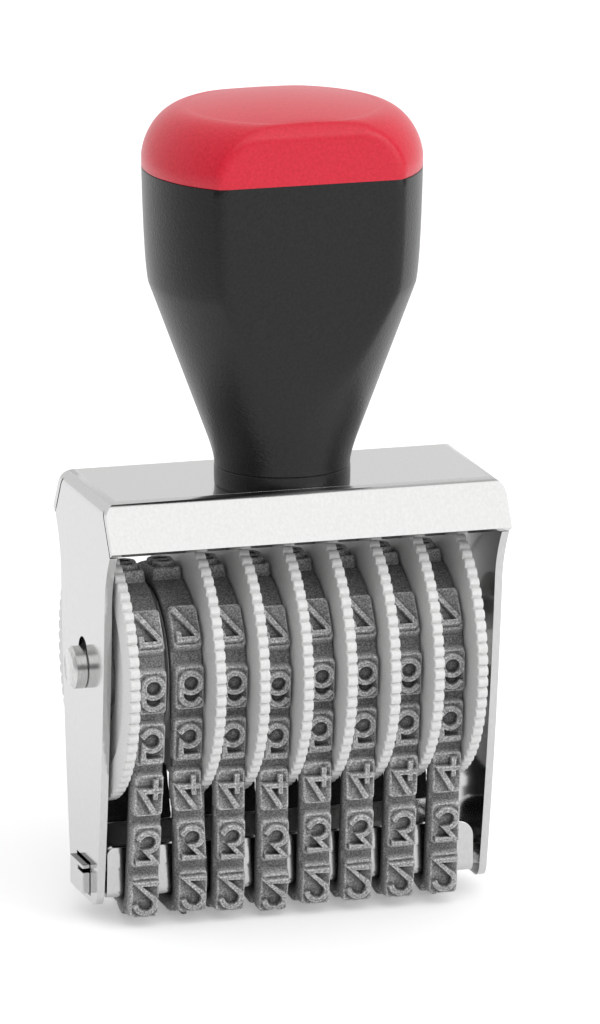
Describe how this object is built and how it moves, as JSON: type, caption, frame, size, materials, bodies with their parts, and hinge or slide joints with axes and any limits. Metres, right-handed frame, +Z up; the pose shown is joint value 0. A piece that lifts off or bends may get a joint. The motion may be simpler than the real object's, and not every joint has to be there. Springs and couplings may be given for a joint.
{
  "type": "band stamp",
  "caption": "Hand numbering stamp: toothed thumb wheels turn endless rubber bands of raised characters in a bent sheet frame under a flared round handle.",
  "frame": {"origin": "middle of the object's outer box in X and Y, at the level of the faces that print", "axes": "+Z up along the handle, -Y the front where the characters are read and the wheels are turned, -X the left side plate"},
  "size_m": [0.0572, 0.035, 0.1067],
  "materials": {
    "plated_sheet": "bright nickel-plated sheet, faintly brushed",
    "bright_steel": "turned and plated steel",
    "wheel_plastic": "off-white moulded plastic, satin",
    "band_rubber": "matt grey rubber with a fine grain",
    "black_plastic": "black moulded plastic with a fine texture",
    "red_plastic": "red moulded plastic, satin"
  },
  "bodies": {
    "stamp_body": {"frame": "plated_sheet", "bridge": "plated_sheet", "axle": "bright_steel", "axle_head_left": "bright_steel", "axle_head_right": "bright_steel", "wheel_spacer": "bright_steel", "axle_bush": "bright_steel", "handle_ring": "black_plastic", "handle_body": "black_plastic", "handle_cap": "red_plastic", "handle_screw": "bright_steel", "screw_washer": "bright_steel", "number_band_1": "band_rubber", "number_band_2": "band_rubber", "number_band_3": "band_rubber", "number_band_4": "band_rubber", "number_band_5": "band_rubber", "number_band_6": "band_rubber", "number_band_7": "band_rubber", "number_band_8": "band_rubber"},
    "wheel_1": {"number_wheel_1": "wheel_plastic"},
    "wheel_2": {"number_wheel_2": "wheel_plastic"},
    "wheel_3": {"number_wheel_3": "wheel_plastic"},
    "wheel_4": {"number_wheel_4": "wheel_plastic"},
    "wheel_5": {"number_wheel_5": "wheel_plastic"},
    "wheel_6": {"number_wheel_6": "wheel_plastic"},
    "wheel_7": {"number_wheel_7": "wheel_plastic"},
    "wheel_8": {"number_wheel_8": "wheel_plastic"}
  },
  "joints": [
    {"name": "wheel_1_turn", "type": "hinge", "parent": "stamp_body", "child": "wheel_1", "pos_m": [0, 0, 0.0331], "axis": [1, 0, 0], "continuous": true},
    {"name": "wheel_2_turn", "type": "hinge", "parent": "stamp_body", "child": "wheel_2", "pos_m": [0, 0, 0.0331], "axis": [1, 0, 0], "continuous": true},
    {"name": "wheel_3_turn", "type": "hinge", "parent": "stamp_body", "child": "wheel_3", "pos_m": [0, 0, 0.0331], "axis": [1, 0, 0], "continuous": true},
    {"name": "wheel_4_turn", "type": "hinge", "parent": "stamp_body", "child": "wheel_4", "pos_m": [0, 0, 0.0331], "axis": [1, 0, 0], "continuous": true},
    {"name": "wheel_5_turn", "type": "hinge", "parent": "stamp_body", "child": "wheel_5", "pos_m": [0, 0, 0.0331], "axis": [1, 0, 0], "continuous": true},
    {"name": "wheel_6_turn", "type": "hinge", "parent": "stamp_body", "child": "wheel_6", "pos_m": [0, 0, 0.0331], "axis": [1, 0, 0], "continuous": true},
    {"name": "wheel_7_turn", "type": "hinge", "parent": "stamp_body", "child": "wheel_7", "pos_m": [0, 0, 0.0331], "axis": [1, 0, 0], "continuous": true},
    {"name": "wheel_8_turn", "type": "hinge", "parent": "stamp_body", "child": "wheel_8", "pos_m": [0, 0, 0.0331], "axis": [1, 0, 0], "continuous": true}
  ]
}
